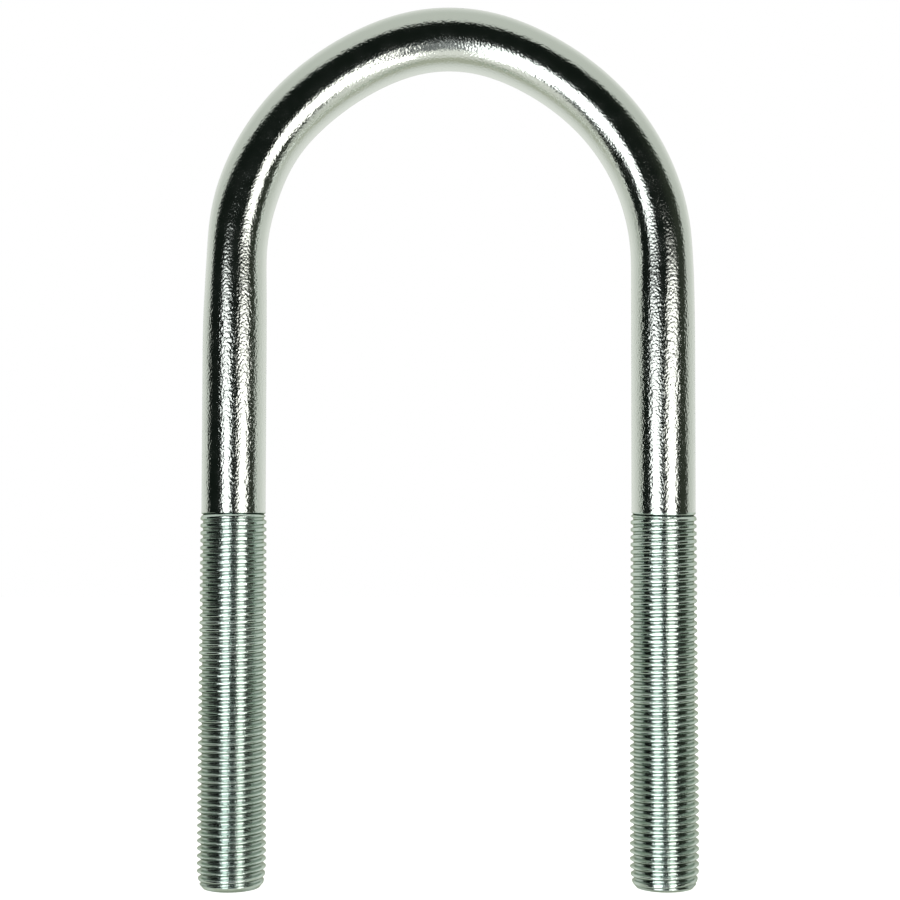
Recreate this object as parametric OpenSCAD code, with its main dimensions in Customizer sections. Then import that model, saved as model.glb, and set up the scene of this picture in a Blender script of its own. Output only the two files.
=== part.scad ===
// U-bolt: one round bar, bent to a tall U, with a rolled thread on each leg.
// The origin is the centre of the bend's start, on the axis of the clamped pipe.
// The pipe runs along Y, the legs hang down along -Z, and the crown is at the top.

/* [Rod] */
// Diameter of the plain bar, which is the pitch diameter of the rolled thread
rod_d = 12.9; // [12.8:0.05:13]
// Clear width between the two legs
inside_w = 74; // [60:1:120]
// Length of each leg, from the start of the bend to the bar's end
leg_len = 125.5; // [100:0.5:200]

/* [Bow] */
// Angle that each shoulder arc turns, from the leg upwards
shoulder_deg = 50; // [45:1:52]
// Radius of the shoulder arc's centreline, beyond half the legs' spacing
shoulder_extra = 2; // [0:0.5:3]
// Angle that each flatter haunch arc turns, above the shoulder
haunch_deg = 19; // [15:1:22]
// Radius of the haunch arc's centreline, beyond the shoulder's
haunch_extra = 8.5; // [4:0.5:10]

/* [Thread] */
// Major diameter, across the crests
thread_d = 13.85; // [13.75:0.05:14]
// Pitch of the right-hand thread
pitch = 1.5; // [1.25, 1.5, 2]
// Length of thread on each leg, with its run-out
thread_len = 75; // [20:1:95]
// Length over which the last groove runs out into the plain bar
runout_len = 0.9; // [0.5:0.1:2]

/* [Point] */
// Diameter of the flat end of each leg
tip_d = 11.4; // [10:0.1:11.6]
// Diameter at the top of the end's chamfer
chamfer_d = 12.9; // [12.5:0.1:13]
// Height of the end's chamfer
chamfer_h = 0.9; // [0.5:0.1:1.2]
// Length over which the crests thin down towards the end
point_len = 3.4; // [2:0.1:5]

/* [Hidden] */
$fn = 96;

// Colours of the bright zinc plating, on the smooth bar and in the thread
bar_zinc = [0.78, 0.80, 0.79];
thread_zinc = [0.58, 0.65, 0.62];

// Sides of the object: the left leg is at -X
left = -1;
right = 1;

// The bow's centreline, as tangent arcs in the XZ plane, for the right half
leg_x = (inside_w + rod_d) / 2;
shoulder_r = leg_x + shoulder_extra;
haunch_r = shoulder_r + haunch_extra;
crown_from = shoulder_deg + haunch_deg;
shoulder_c = [leg_x - shoulder_r, 0];
haunch_c = shoulder_c - haunch_extra * [cos(shoulder_deg), sin(shoulder_deg)];
crown_r = haunch_r + haunch_c.x / cos(crown_from);
crown_c = haunch_c + (haunch_r - crown_r) * [cos(crown_from), sin(crown_from)];

// The metric thread form: 60 degree flanks, a flat of an eighth of the pitch on the crest
// and of a sixth in the root, which leaves 17/24 of the sharp triangle's height
flank_deg = 30;
crest_flat = pitch / 8;
root_flat = pitch / 6;
crest_r = thread_d / 2;
root_r = crest_r - 17 / 24 * pitch * cos(flank_deg);
ridge_foot = (pitch - root_flat) / 2;

// Height of the highest ridge above the bar's end, and how many ridges fit down to the chamfer
top_ridge = thread_len - runout_len - root_flat - ridge_foot;
ridge_count = floor((top_ridge - ridge_foot - chamfer_h) / pitch) + 1;

// Largest radius of the pointed end at a height above the bar's end
function point_r(height) =
    height >= point_len ? crest_r
    : chamfer_d / 2 + (crest_r - chamfer_d / 2) * (height - chamfer_h) / (point_len - chamfer_h);

// Outline of one ridge from its lower foot to its upper foot, in radius and height
function ridge(height) =
    let (half_crest = crest_flat / 2 + (crest_r - point_r(height)) * tan(flank_deg))
    [
        [root_r, height - ridge_foot],
        [point_r(height - half_crest), height - half_crest],
        [point_r(height + half_crest), height + half_crest],
        [root_r, height + ridge_foot]
    ];

// Half section of a threaded end, upwards from the flat end. Each ridge stands for one turn.
function threaded_section() =
    concat(
        [[0, 0], [tip_d / 2, 0], [chamfer_d / 2, chamfer_h]],
        [for (below_top = [ridge_count - 1 : -1 : 0]) each ridge(top_ridge - below_top * pitch)],
        [[root_r, thread_len - runout_len]],
        [[rod_d / 2, thread_len], [0, thread_len]]
    );

// A stretch of bent bar on one side, whose angles count upwards from the leg
module bent_bar(side, centre, radius, from_deg, sweep_deg) {
    start_deg = side == right ? from_deg : 180 - from_deg - sweep_deg;
    color(bar_zinc)
        translate([side * centre.x, 0, centre.y])
            rotate([90, 0, 0])
                rotate(start_deg)
                    rotate_extrude(angle = sweep_deg)
                        translate([radius, 0])
                            circle(d = rod_d);
}

// The lower part of the bend on one side, tangent to the leg
module shoulder(side) {
    bent_bar(side, shoulder_c, shoulder_r, 0, shoulder_deg);
}

// The flatter part of the bend above the shoulder
module haunch(side) {
    bent_bar(side, haunch_c, haunch_r, shoulder_deg, haunch_deg);
}

// The top of the bend, which joins the two haunches
module crown() {
    bent_bar(right, crown_c, crown_r, crown_from, 180 - 2 * crown_from);
}

// The plain straight bar of one leg, between the bend and the thread
module shank(side) {
    color(bar_zinc)
        translate([side * leg_x, 0, thread_len - leg_len])
            cylinder(d = rod_d, h = leg_len - thread_len);
}

// The threaded end of one leg
module thread(side) {
    color(thread_zinc)
        translate([side * leg_x, 0, -leg_len])
            rotate_extrude()
                polygon(threaded_section());
}

crown();
haunch(left);  // left_haunch
haunch(right);  // right_haunch
shoulder(left);  // left_shoulder
shoulder(right);  // right_shoulder
shank(left);  // left_shank
shank(right);  // right_shank
thread(left);  // left_thread
thread(right);  // right_thread
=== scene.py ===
import math

import bmesh
import bpy
import numpy as np
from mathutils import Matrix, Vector


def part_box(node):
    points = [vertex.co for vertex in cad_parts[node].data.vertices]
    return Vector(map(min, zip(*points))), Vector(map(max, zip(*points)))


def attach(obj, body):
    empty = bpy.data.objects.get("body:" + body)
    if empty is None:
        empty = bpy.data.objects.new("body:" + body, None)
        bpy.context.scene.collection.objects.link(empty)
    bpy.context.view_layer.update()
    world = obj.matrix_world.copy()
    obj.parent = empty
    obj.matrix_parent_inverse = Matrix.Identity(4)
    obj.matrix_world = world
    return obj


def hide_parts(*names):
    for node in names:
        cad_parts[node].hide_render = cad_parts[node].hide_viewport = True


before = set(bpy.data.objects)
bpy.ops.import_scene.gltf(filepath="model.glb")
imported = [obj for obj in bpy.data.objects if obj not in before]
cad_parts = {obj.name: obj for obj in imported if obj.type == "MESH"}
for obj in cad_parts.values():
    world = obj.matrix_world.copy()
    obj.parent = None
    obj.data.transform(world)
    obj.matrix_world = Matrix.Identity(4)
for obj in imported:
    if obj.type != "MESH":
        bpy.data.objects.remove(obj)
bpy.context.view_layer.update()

MM = 0.001

# ---------------------------------------------------------------- sizes read from the frame

shank_low, shank_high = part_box("right_shank")
thread_low, thread_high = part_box("right_thread")

LEG_X = (shank_low.x + shank_high.x) / 2
ROD_R = (shank_high.x - shank_low.x) / 2
CREST_R = (thread_high.x - thread_low.x) / 2
BEND_Z = shank_high.z
THREAD_TOP = thread_high.z
BAR_END = thread_low.z

# The bow's arcs, as the CAD part has them
SHOULDER_R = LEG_X + 2 * MM
HAUNCH_R = SHOULDER_R + 8.5 * MM
SHOULDER_TURN = math.radians(50)
HAUNCH_TURN = math.radians(19)

# The metric thread form
PITCH = 1.5 * MM
FLANK = math.radians(30)
ROOT_R = CREST_R - 17 / 24 * PITCH * math.cos(FLANK)
SHARP_R = CREST_R + PITCH / 16 / math.tan(FLANK)


# ---------------------------------------------------------------- small helpers

def smoothstep(x):
    """0 below 0, 1 above 1, and smooth between."""
    x = np.clip(x, 0, 1)
    return x * x * (3 - 2 * x)


def soft_min(a, b, width):
    """The smaller of a and b, rounded where they meet."""
    h = np.maximum(width - np.abs(a - b), 0) / width
    return np.minimum(a, b) - h * h * width / 4


def soft_max(a, b, width):
    """The larger of a and b, rounded where they meet."""
    return -soft_min(-a, -b, width)


def grid_faces(rows, columns):
    """Quads of a tube of rows rings with columns points each, outside facing out."""
    row, column = np.meshgrid(np.arange(rows - 1), np.arange(columns), indexing="ij")
    following = (column + 1) % columns
    quads = [row * columns + column, row * columns + following,
             (row + 1) * columns + following, (row + 1) * columns + column]
    return np.stack([q.ravel() for q in quads], axis=1)


def new_piece(name, points, faces, material, straight, shade, grain):
    """A mesh piece on the root body.

    straight holds each point's place on the unbent bar, shade how strongly painted shade
    darkens its colour in a groove or the notch, and grain how coarse its plating is.
    """
    mesh = bpy.data.meshes.new(name)
    mesh.from_pydata(points.tolist(), [], faces)
    mesh.materials.append(material)
    layer = mesh.attributes.new("straight", "FLOAT_VECTOR", "POINT")
    layer.data.foreach_set("vector", straight.astype(np.float32).ravel())
    for label, values in (("shade", shade), ("grain", grain)):
        layer = mesh.attributes.new(label, "FLOAT", "POINT")
        layer.data.foreach_set("value", values.astype(np.float32).ravel())
    piece = bpy.data.objects.new(name, mesh)
    bpy.context.scene.collection.objects.link(piece)
    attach(piece, "root")
    return piece


# How far the legs lean to the left, for each unit of length below the bend
LEAN = 0.0018


def leaning(points):
    """Moves the legs a little to the left towards their ends, as the photographed ones lean."""
    points[..., 0] -= LEAN * np.maximum(BEND_Z - points[..., 2], 0)
    return points


# ---------------------------------------------------------------- the bent bar

STEP = 0.5 * MM
AROUND = 96
# Half the length over which the curvature changes from one arc to the next
EASING = 6 * MM
# Length over which the bow's changes of section set in
BOW_EASING = 8 * MM
FLATTENING = 0.015
INWARD = 0.04 * MM

# Length of plain straight bar on each leg
SHANK_LEN = BEND_Z - THREAD_TOP


def half_path():
    """Centreline of the right half, from the thread's top up to the crown: distance, x, z, turn."""
    haunch_x = LEG_X - SHOULDER_R - (HAUNCH_R - SHOULDER_R) * math.cos(SHOULDER_TURN)
    crown_from = SHOULDER_TURN + HAUNCH_TURN
    crown_r = HAUNCH_R + haunch_x / math.cos(crown_from)
    to_haunch = SHOULDER_R * SHOULDER_TURN
    to_crown = to_haunch + HAUNCH_R * HAUNCH_TURN
    to_top = to_crown + crown_r * (math.pi / 2 - crown_from)
    changes = [(0, 1 / SHOULDER_R), (to_haunch, 1 / HAUNCH_R - 1 / SHOULDER_R),
               (to_crown, 1 / crown_r - 1 / HAUNCH_R)]
    start = THREAD_TOP - BEND_Z
    count = round((to_top - start) / STEP)
    # the path is summed up in finer steps than it is kept in
    fine = 10
    s = np.linspace(start, to_top, count * fine + 1)
    bend = sum(change * smoothstep((s - at) / (2 * EASING) + 0.5) for at, change in changes)
    ds = s[1] - s[0]
    turn = np.concatenate([[0], np.cumsum((bend[1:] + bend[:-1]) / 2 * ds)])
    turn *= math.pi / 2 / turn[-1]
    middle = (turn[1:] + turn[:-1]) / 2
    x = LEG_X - np.concatenate([[0], np.cumsum(np.sin(middle) * ds)])
    z = THREAD_TOP + np.concatenate([[0], np.cumsum(np.cos(middle) * ds)])
    x = LEG_X - (LEG_X - x) * LEG_X / (LEG_X - x[-1])
    return s[::fine] - start, x[::fine], z[::fine], turn[::fine]


def whole_path():
    """The bar's centreline from the left thread's top, over the crown, to the right thread's top."""
    s, x, z, turn = half_path()
    length = 2 * s[-1]
    s = np.concatenate([s, length - s[-2::-1]])
    x = np.concatenate([-x, x[-2::-1]])
    z = np.concatenate([z, z[-2::-1]])
    turn = np.concatenate([math.pi - turn, turn[-2::-1]])
    return s, x, z, turn


def pressed(s, psi):
    """How far the bending tools have pressed the bar in, seen in the plane of the bow.

    A dent has a distance along the bar, a half length, a depth and a side: 1 is outside the bow,
    -1 is inside, and 0 shifts the whole bar inwards.
    """
    dents = ((SHANK_LEN, 9 * MM, 0.42 * MM, 1),
             (SHANK_LEN + 3 * MM, 9 * MM, 0.12 * MM, 0),
             (SHANK_LEN + 27 * MM, 9 * MM, 0.36 * MM, -1),
             (s[-1] - SHANK_LEN, 8 * MM, 0.20 * MM, 1))
    depth = 0
    for at, half, deep, side in dents:
        along = np.exp(-((s - at) / half) ** 2)[:, None]
        facing = np.cos(psi)[None, :]
        share = facing if side == 0 else side * np.clip(side * facing, 0, 1) ** 2
        depth = depth + deep * along * share
    return depth


def coarseness(z):
    """How coarse the plating's grain is at a height: coarsest on the legs, some way below the bend."""
    below = (BEND_Z - z) / MM
    fading = 1 - 0.6 * smoothstep((below - 28) / 18)
    return 0.8 + 0.8 * smoothstep(below / 16) * fading


def bar_surface():
    """Rings of points around the whole path, with distance, normals, unbent places and grain."""
    s, x, z, turn = whole_path()
    psi = np.linspace(0, 2 * math.pi, AROUND, endpoint=False)
    bent = smoothstep((z - BEND_Z) / BOW_EASING + 0.5)
    outward = np.stack([np.cos(turn), np.zeros_like(turn), np.sin(turn)], axis=1)
    across = np.array([0.0, -1.0, 0.0])
    centre = np.stack([x, np.zeros_like(x), z], axis=1)
    in_plane = ROD_R * (1 - FLATTENING * bent[:, None]) * np.cos(psi)[None, :]
    in_plane = in_plane - INWARD * bent[:, None] - pressed(s, psi)
    points = (centre[:, None, :]
              + in_plane[:, :, None] * outward[:, None, :]
              + (ROD_R * np.sin(psi))[None, :, None] * across)
    points = leaning(points)
    centre = leaning(centre.copy())
    along = np.gradient(points, axis=0)
    around = np.roll(points, -1, axis=1) - np.roll(points, 1, axis=1)
    normals = np.cross(around, along)
    normals /= np.linalg.norm(normals, axis=2, keepdims=True)
    facing = (normals * (points - centre[:, None, :])).sum(axis=2)
    normals *= np.sign(facing)[:, :, None]
    straight = np.stack(np.broadcast_arrays(
        (ROD_R * np.cos(psi))[None, :], (ROD_R * np.sin(psi))[None, :], s[:, None]), axis=2)
    grain = np.repeat(coarseness(z)[:, None], AROUND, axis=1)
    return s, points, normals, straight, grain


def bar_piece(name, first, last, surface, material, nodes):
    """The stretch of bar between two ring numbers, closed by a flat cap at each end."""
    part, part_normals, part_straight, part_grain = [rings[first:last + 1] for rings in surface[1:]]
    rows = len(part)
    faces = grid_faces(rows, AROUND).tolist()
    low_cap = list(range(AROUND))
    high_cap = list(range((rows - 1) * AROUND, rows * AROUND))
    faces += [low_cap[::-1], high_cap]
    piece = new_piece(name, part.reshape(-1, 3), faces, material,
                      part_straight.reshape(-1, 3), np.zeros(part.shape[:2]), part_grain)
    mesh = piece.data
    mesh.shade_smooth()
    corner = np.zeros(len(mesh.loops), np.int32)
    mesh.loops.foreach_get("vertex_index", corner)
    loop_normals = part_normals.reshape(-1, 3)[corner]
    for polygon in mesh.polygons[-2:]:
        for loop in polygon.loop_indices:
            loop_normals[loop] = polygon.normal
    mesh.normals_split_custom_set(loop_normals.tolist())
    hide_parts(*nodes)
    return piece


# ---------------------------------------------------------------- the rolled threads

TURN_STEPS = 96
PITCH_STEPS = 16
TIP_R = 5.7 * MM
CHAMFER_R = 6.45 * MM
CHAMFER_H = 0.9 * MM
POINT_LEN = 3.4 * MM
POINT_ROUNDING = 0.12 * MM
# Radius of the rounding where flanks meet crest and root, and how far the root is filled up
FORM_ROUNDING = 0.08 * MM
ROOT_FILL = 0.12 * MM
# How much lower the crests are at the thread's start, and the length over which they rise
CREST_LOSS = 0.30 * MM
CREST_RISE_LEN = 62 * MM
# How dark the painted shade in a groove is, and the groove depth at which it is darkest
GROOVE_SHADE = 0.30
GROOVE_DEPTH = 0.6 * MM
# The notch at the thread's start: its depth below the thread's top, rise, half width and depth
NOTCH_DROP = 0.42 * MM
NOTCH_RISE = 0.3 * MM
NOTCH_WIDTH = 0.15 * MM
NOTCH_DEPTH = 0.38 * MM
# Where the thread's form begins below the notch, and the length over which it grows
FORM_DROP = 0.2 * MM
FORM_GROWTH = 0.5 * MM
# Points closer than this are one point
MERGE_DISTANCE = 0.002 * MM
# Crease angle above which the thread's faces meet in a sharp edge
CREASE = math.radians(42)


def thread_radius(angle, z, top_angle):
    """Radius and painted shade of the threaded bar at an angle around the leg and a height."""
    phase = (z - THREAD_TOP) / PITCH - (angle - top_angle) / (2 * math.pi)
    off_crest = np.abs((phase + 0.5) % 1 - 0.5) * PITCH
    flank = SHARP_R - off_crest / math.tan(FLANK)
    filled = smoothstep((THREAD_TOP - z) / CREST_RISE_LEN)
    crest = CREST_R - CREST_LOSS * (1 - filled)
    r = soft_min(flank, crest, FORM_ROUNDING)
    r = soft_max(r, ROOT_R + ROOT_FILL, FORM_ROUNDING)
    # painted shade: the colour darkens with depth in the groove, as shade falls there
    shade = GROOVE_SHADE * smoothstep((crest - r) / GROOVE_DEPTH)
    # a narrow notch, which rises a little around the bar, parts the thread from the plain bar
    notch_z = THREAD_TOP - NOTCH_DROP - NOTCH_RISE * np.cos(angle - top_angle)
    notch = np.exp(-((z - notch_z) / NOTCH_WIDTH) ** 2)
    start = smoothstep((notch_z - FORM_DROP - z) / FORM_GROWTH)
    r = ROD_R + (r - ROD_R) * start - NOTCH_DEPTH * notch
    neck = smoothstep((THREAD_TOP - z) / NOTCH_WIDTH)
    r = ROD_R + (r - ROD_R) * neck
    # painted shade: the notch is coloured fully in the dark shade tint, the grooves partly
    shade = np.maximum(shade * start, notch * neck)
    # the crests thin down towards the chamfered end
    height = z - BAR_END
    point = CHAMFER_R + (CREST_R - CHAMFER_R) * (height - CHAMFER_H) / (POINT_LEN - CHAMFER_H)
    chamfer = TIP_R + (CHAMFER_R - TIP_R) * height / CHAMFER_H
    r = np.where(height < POINT_LEN, soft_min(r, point, POINT_ROUNDING), r)
    return np.minimum(r, chamfer), shade


def thread_piece(name, side, top_angle, material, cad_node):
    """One threaded end. Its rows of points follow the helix, and are cut off at both ends."""
    turn = np.linspace(0, 2 * math.pi, TURN_STEPS, endpoint=False)
    length = THREAD_TOP - BAR_END
    turns = math.ceil(length / PITCH) + 1
    rows = turns * PITCH_STEPS
    climb = (np.arange(rows + 1) / PITCH_STEPS - 1) * PITCH
    z = BAR_END + climb[:, None] + PITCH * (turn / (2 * math.pi))[None, :]
    z = np.clip(z, BAR_END, THREAD_TOP)
    angle = np.broadcast_to(turn[None, :], z.shape)
    r, shade = thread_radius(angle, z, top_angle)
    x = side * LEG_X + r * np.cos(angle)
    y = r * np.sin(angle)
    points = np.stack([x, y, z], axis=2).reshape(-1, 3)
    index = np.arange((rows + 1) * TURN_STEPS).reshape(rows + 1, TURN_STEPS)
    here = index[:-1, :]
    above = index[1:, :]
    next_here = np.roll(index, -1, axis=1)
    # past a full turn the helix has risen by one pitch
    next_here[:, -1] = np.roll(index[:, 0], -PITCH_STEPS)
    faces = []
    for row in range(rows):
        for column in range(TURN_STEPS):
            if column == TURN_STEPS - 1 and row + 1 + PITCH_STEPS > rows:
                continue
            faces.append([here[row, column], next_here[row, column],
                          next_here[row + 1, column], above[row, column]])
    straight = points.copy()
    straight[:, 0] -= side * LEG_X
    points = leaning(points)
    grain = np.ones(len(points))
    piece = new_piece(name, points, faces, material, straight, shade, grain)
    close_thread(piece)
    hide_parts(cad_node)
    return piece


def close_thread(piece):
    """Merges the cut-off rows, then caps the two flat ends."""
    mesh = piece.data
    work = bmesh.new()
    work.from_mesh(mesh)
    bmesh.ops.remove_doubles(work, verts=work.verts, dist=MERGE_DISTANCE)
    loose = [v for v in work.verts if not v.link_faces]
    bmesh.ops.delete(work, geom=loose, context="VERTS")
    open_edges = [e for e in work.edges if e.is_boundary]
    bmesh.ops.holes_fill(work, edges=open_edges, sides=0)
    bmesh.ops.recalc_face_normals(work, faces=work.faces)
    work.to_mesh(mesh)
    work.free()
    mesh.shade_smooth()
    mesh.set_sharp_from_angle(angle=CREASE)


# ---------------------------------------------------------------- shader helpers

def node(tree, kind, inputs=None, **settings):
    """A shader node with its settings and its inputs, which are values or other sockets."""
    made = tree.nodes.new(kind)
    for key, value in settings.items():
        setattr(made, key, value)
    for key, value in (inputs or {}).items():
        if isinstance(value, bpy.types.NodeSocket):
            tree.links.new(value, made.inputs[key])
        else:
            made.inputs[key].default_value = value
    return made


def maths(tree, operation, a, b=0.0, c=0.0):
    """The result of a sum on values or other sockets."""
    return node(tree, "ShaderNodeMath", {0: a, 1: b, 2: c}, operation=operation).outputs[0]


def ramp(tree, value, low, high, to_low=0.0, to_high=1.0):
    """A smooth step of value from low to high."""
    return node(tree, "ShaderNodeMapRange",
                {"Value": value, "From Min": low, "From Max": high, "To Min": to_low, "To Max": to_high},
                interpolation_type="SMOOTHSTEP").outputs[0]


def mix(tree, share, first, second):
    """Two colours mixed, with share of the second."""
    made = tree.nodes.new("ShaderNodeMix")
    made.data_type = "RGBA"
    for socket, value in ((0, share), (6, first), (7, second)):
        if isinstance(value, bpy.types.NodeSocket):
            tree.links.new(value, made.inputs[socket])
        else:
            made.inputs[socket].default_value = value
    return made.outputs[2]


def noise(tree, place, scale, detail):
    """Noise at a place, with scale features for each metre."""
    inputs = {"Vector": place, "Scale": scale, "Detail": detail}
    return node(tree, "ShaderNodeTexNoise", inputs).outputs["Fac"]


def stretched(tree, place, share):
    """A place whose distance along the bar counts only by a share, which draws a noise out along it."""
    inputs = {0: place, 1: (1, 1, share)}
    return node(tree, "ShaderNodeVectorMath", inputs, operation="MULTIPLY").outputs[0]


def bump(tree, height, distance, under=None):
    """A bump of so many metres, on top of another bump's normal."""
    inputs = {"Strength": 1.0, "Distance": distance, "Height": height}
    if under is not None:
        inputs["Normal"] = under
    return node(tree, "ShaderNodeBump", inputs).outputs["Normal"]


# ---------------------------------------------------------------- materials

def zinc(name, tint, painted_shade_tint, edge_tint, roughness, grain_height, haze_height):
    """Bright zinc plating: a mirror whose fine grain speckles and softens its reflections.

    Painted shade darkens its colour in grooves and the notch, by each point's shade, and it is coarser
    where the point's grain is high.
    """
    material = bpy.data.materials.new(name)
    material.use_nodes = True
    tree = material.node_tree
    tree.nodes.clear()
    place = node(tree, "ShaderNodeAttribute", attribute_name="straight").outputs["Vector"]
    wave = noise(tree, place, 330, 1)
    grain = noise(tree, stretched(tree, place, 0.85), 2400, 0)
    haze = noise(tree, place, 7000, 1)
    streak = noise(tree, stretched(tree, place, 0.03), 1100, 1)
    shade = node(tree, "ShaderNodeAttribute", attribute_name="shade").outputs["Fac"]
    # painted shade: the colour is mixed towards the dark shade tint by each point's shade
    colour = mix(tree, shade, (*tint, 1), (*painted_shade_tint, 1))
    shader = node(tree, "ShaderNodeBsdfPrincipled",
                  {"Base Color": colour, "Metallic": 1.0, "Specular Tint": (*edge_tint, 1)})
    rough = ramp(tree, wave, 0.35, 0.65, roughness * 0.85, roughness * 1.2)
    tree.links.new(rough, shader.inputs["Roughness"])
    coarse = node(tree, "ShaderNodeAttribute", attribute_name="grain").outputs["Fac"]
    normal = bump(tree, wave, 0.012 * MM)
    normal = bump(tree, streak, 0.003 * MM, normal)
    normal = bump(tree, maths(tree, "MULTIPLY", grain, coarse), grain_height, normal)
    normal = bump(tree, maths(tree, "MULTIPLY", haze, coarse), haze_height, normal)
    tree.links.new(normal, shader.inputs["Normal"])
    output = node(tree, "ShaderNodeOutputMaterial")
    tree.links.new(shader.outputs[0], output.inputs["Surface"])
    return material


# ---------------------------------------------------------------- studio

def squared_share(tree, value, below, above):
    """The square of value over a limit, with one limit below zero and another above."""
    over = maths(tree, "MAXIMUM", maths(tree, "DIVIDE", value, above), 0.0)
    under = maths(tree, "MINIMUM", maths(tree, "DIVIDE", value, below), 0.0)
    either = maths(tree, "ADD", over, under)
    return maths(tree, "MULTIPLY", either, either)


def view_angles(tree):
    """Angle of a direction from straight ahead, with its sideways and its upward share, in degrees."""
    direction = node(tree, "ShaderNodeTexCoord").outputs["Generated"]
    part = node(tree, "ShaderNodeSeparateXYZ", {0: direction}).outputs
    x, y, z = part["X"], part["Y"], part["Z"]
    angle = maths(tree, "DEGREES", maths(tree, "ARCCOSINE", maths(tree, "MULTIPLY", y, -1.0)))
    height_squared = maths(tree, "ADD", maths(tree, "MULTIPLY", z, z), 1e-9)
    sine = maths(tree, "SQRT", maths(tree, "ADD", maths(tree, "MULTIPLY", x, x), height_squared))
    sideways = maths(tree, "MULTIPLY", angle, maths(tree, "DIVIDE", x, sine))
    upward = maths(tree, "MULTIPLY", angle, maths(tree, "DIVIDE", z, sine))
    return angle, sideways, upward


def pale_room(tree, angle, upward):
    """The room to the sides and behind: pale grey, dimmer in a low ring, lighter low in front."""
    depth = ramp(tree, angle, 95.0, 150.0)
    room = mix(tree, depth, (0.57, 0.60, 0.55, 1), (0.80, 0.82, 0.78, 1))
    ring = maths(tree, "MULTIPLY", ramp(tree, angle, 68.0, 92.0), ramp(tree, angle, 118.0, 98.0))
    low_ring = maths(tree, "MULTIPLY", ramp(tree, upward, -10.0, -60.0), ring)
    room = mix(tree, maths(tree, "MULTIPLY", low_ring, 0.75), room, (0.36, 0.38, 0.28, 1))
    in_front = ramp(tree, angle, 92.0, 68.0)
    below = maths(tree, "MULTIPLY", ramp(tree, upward, -42.0, -60.0), in_front)
    return mix(tree, below, room, (0.80, 0.81, 0.76, 1))


def dark_front(tree, sideways, upward):
    """The dark part in front, a little lighter to the right and in the middle below."""
    rightwards = ramp(tree, sideways, 20.0, 70.0)
    dark = mix(tree, rightwards, (0.006, 0.009, 0.007, 1), (0.030, 0.036, 0.026, 1))
    central = ramp(tree, maths(tree, "ABSOLUTE", sideways), 30.0, 12.0)
    middle = maths(tree, "MULTIPLY", ramp(tree, upward, -5.0, -42.0), central)
    return mix(tree, middle, dark, (0.10, 0.108, 0.11, 1))


def studio_world():
    """White to look at, and in reflections a pale room with a dark front."""
    world = bpy.data.worlds.new("studio")
    bpy.context.scene.world = world
    world.use_nodes = True
    tree = world.node_tree
    tree.nodes.clear()
    angle, sideways, upward = view_angles(tree)
    # the dark front ends at these angles to the left, right, below and above
    across = squared_share(tree, sideways, 100.0, 90.0)
    reach = maths(tree, "ADD", across, squared_share(tree, upward, 52.0, 53.5))
    outside = ramp(tree, reach, 0.90, 1.12)
    pale = mix(tree, outside, dark_front(tree, sideways, upward), pale_room(tree, angle, upward))
    seen = node(tree, "ShaderNodeLightPath").outputs["Is Camera Ray"]
    colour = mix(tree, seen, pale, (1, 1, 1, 1))
    background = node(tree, "ShaderNodeBackground", {"Color": colour, "Strength": 1.0})
    output = node(tree, "ShaderNodeOutputWorld")
    tree.links.new(background.outputs[0], output.inputs["Surface"])


def stepped(tree, z, stops):
    """A value that changes smoothly with height, through a list of (height, value) from the top down."""
    value = stops[0][1]
    for (upper, before), (lower, after) in zip(stops, stops[1:]):
        value = maths(tree, "ADD", value, ramp(tree, z, upper, lower, 0.0, after - before))
    return value


PANEL_LOW = -0.46
PANEL_HIGH = 0.04


def soft_panel(name, outer, inner, outer_edge, inner_edge, fades, radiance, colour):
    """An upright soft light, which runs from one point to another in plan and faces the object.

    Its lit part lies between two edges, given as (height, distance from the middle plane) from the
    top down. fades are the widths over which it fades in at the outer and the inner edge, and
    radiance is given as (height, value).
    """
    outer, inner = Vector((*outer, 0)), Vector((*inner, 0))
    along = inner - outer
    width, height = along.length, PANEL_HIGH - PANEL_LOW
    light = bpy.data.lights.new(name, "AREA")
    light.shape = "RECTANGLE"
    light.size, light.size_y = width, height
    # this power makes the panel's radiance equal to its emission strength
    light.energy = math.pi * width * height
    light.use_nodes = True
    tree = light.node_tree
    place = node(tree, "ShaderNodeNewGeometry").outputs["Position"]
    part = node(tree, "ShaderNodeSeparateXYZ", {0: place}).outputs
    out = maths(tree, "ABSOLUTE", part["X"])
    from_inner = maths(tree, "SUBTRACT", out, stepped(tree, part["Z"], inner_edge))
    from_outer = maths(tree, "SUBTRACT", stepped(tree, part["Z"], outer_edge), out)
    at_outer = ramp(tree, from_outer, 0.0, fades[0])
    at_inner = ramp(tree, from_inner, 0.0, fades[1])
    share = maths(tree, "MULTIPLY", at_inner, at_outer)
    share = maths(tree, "MULTIPLY", share, stepped(tree, part["Z"], radiance))
    emission = tree.nodes["Emission"]
    emission.inputs["Color"].default_value = (*colour, 1)
    tree.links.new(share, emission.inputs["Strength"])
    panel = bpy.data.objects.new(name, light)
    centre = (outer + inner) / 2 + Vector((0, 0, (PANEL_LOW + PANEL_HIGH) / 2))
    panel.location = centre
    normal = along.cross(Vector((0, 0, 1))).normalized()
    if normal.dot(-centre) < 0:
        normal = -normal
    panel.rotation_mode = "QUATERNION"
    panel.rotation_quaternion = normal.to_track_quat("-Z", "Y")
    panel.visible_camera = False
    bpy.context.scene.collection.objects.link(panel)
    return panel


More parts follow.
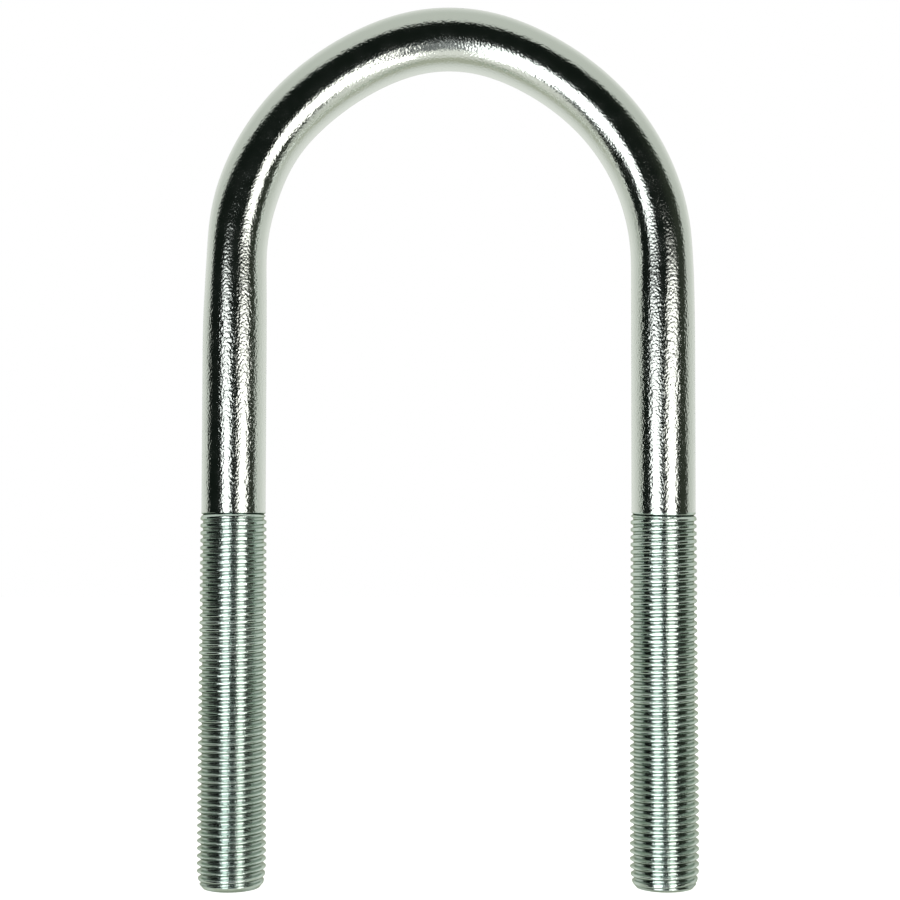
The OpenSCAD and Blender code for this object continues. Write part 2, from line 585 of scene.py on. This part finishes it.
def soft_lights():
    """Two tall panels at the sides and a dim one behind the camera.

    Their edges were set until the bright bands on the bar lay about as in the photograph.
    """
    fading_top = [(0.040, 0.0), (0.000, 2.4)]
    soft_panel("left_softbox", (-0.1715, -0.125), (-0.090, -0.600),
               [(0.000, 0.167), (-0.020, 0.160), (-0.060, 0.162), (-0.100, 0.171), (-0.140, 0.161)],
               [(0.035, 0.122), (0.000, 0.102), (-0.030, 0.106), (-0.060, 0.094), (-0.100, 0.078),
                (-0.250, 0.080)],
               (0.005, 0.030), fading_top, (0.97, 1.0, 1.0))
    soft_panel("right_softbox", (0.230, -0.135), (0.040, -0.341),
               [(-0.008, 0.211), (-0.022, 0.186), (-0.060, 0.191), (-0.100, 0.203), (-0.140, 0.186)],
               [(0.035, 0.093), (0.000, 0.072), (-0.020, 0.074), (-0.045, 0.076), (-0.070, 0.054),
                (-0.120, 0.054), (-0.155, 0.072), (-0.190, 0.100)],
               (0.014, 0.034), fading_top, (1.0, 0.99, 0.95))
    soft_panel("camera_side", (-0.080, -0.370), (0.080, -0.370),
               [(0.000, 0.070), (-0.200, 0.070)], [(0.000, -0.100), (-0.200, -0.100)],
               (0.030, 0.010), [(-0.040, 0.0), (-0.080, 0.03), (-0.220, 0.12)], (0.95, 1.0, 1.0))


def floor():
    """A plain pale floor just under the ends of the legs.

    It gives off light so that it looks white, and is left out of reflections and shadows.
    """
    size = 1.2
    z = BAR_END - 0.05 * MM
    mesh = bpy.data.meshes.new("floor")
    mesh.from_pydata([(-size, -size, z), (size, -size, z), (size, size, z), (-size, size, z)],
                     [], [(0, 1, 2, 3)])
    material = bpy.data.materials.new("floor")
    material.use_nodes = True
    shader = material.node_tree.nodes["Principled BSDF"]
    shader.inputs["Base Color"].default_value = (0.8, 0.8, 0.8, 1)
    shader.inputs["Roughness"].default_value = 0.9
    shader.inputs["Emission Color"].default_value = (1, 1, 1, 1)
    shader.inputs["Emission Strength"].default_value = 0.9
    mesh.materials.append(material)
    made = bpy.data.objects.new("floor", mesh)
    made.visible_glossy = False
    made.visible_shadow = False
    bpy.context.scene.collection.objects.link(made)


def camera():
    """A 70 mm lens in front of the legs, looking slightly up."""
    data = bpy.data.cameras.new("camera")
    data.sensor_width = 36
    data.lens = 70
    data.clip_start = 0.01
    made = bpy.data.objects.new("camera", data)
    made.location = (0.2 * MM, -354 * MM, -50.7 * MM)
    upward = math.radians(2.08)
    made.rotation_euler = (math.pi / 2 + upward, 0, 0)
    bpy.context.scene.collection.objects.link(made)
    bpy.context.scene.camera = made


# ---------------------------------------------------------------- the model

camera()
studio_world()
soft_lights()
floor()

# tint, tint of the painted shade in grooves and the notch, tint at grazing angles, roughness, height of
# the grain and of the haze
bar_tint = (0.80, 0.83, 0.79)
bar_zinc = zinc("bright_zinc", bar_tint, bar_tint, (1, 1, 1), 0.125, 0.042 * MM, 0.012 * MM)
# the thread's second colour is the near-black green of its painted groove and notch shade
thread_zinc = zinc("thread_zinc", (0.77, 0.86, 0.815), (0.03, 0.075, 0.06), (0.52, 0.54, 0.45),
                   0.15, 0.020 * MM, 0.012 * MM)

surface = bar_surface()
distance = surface[0]
bend_start = int(np.argmin(np.abs(distance - SHANK_LEN)))
bend_end = len(distance) - 1 - bend_start
bar_piece("left_shank_bar", 0, bend_start, surface, bar_zinc, ["left_shank"])
bar_piece("bow", bend_start, bend_end, surface, bar_zinc,
          ["left_shoulder", "left_haunch", "crown", "right_haunch", "right_shoulder"])
bar_piece("right_shank_bar", bend_end, len(distance) - 1, surface, bar_zinc, ["right_shank"])
# the side of each thread and the angle at which its helix starts
thread_piece("left_rolled_thread", -1, math.radians(100), thread_zinc, "left_thread")
thread_piece("right_rolled_thread", 1, math.radians(290), thread_zinc, "right_thread")

bpy.context.scene.view_settings.view_transform = "Standard"
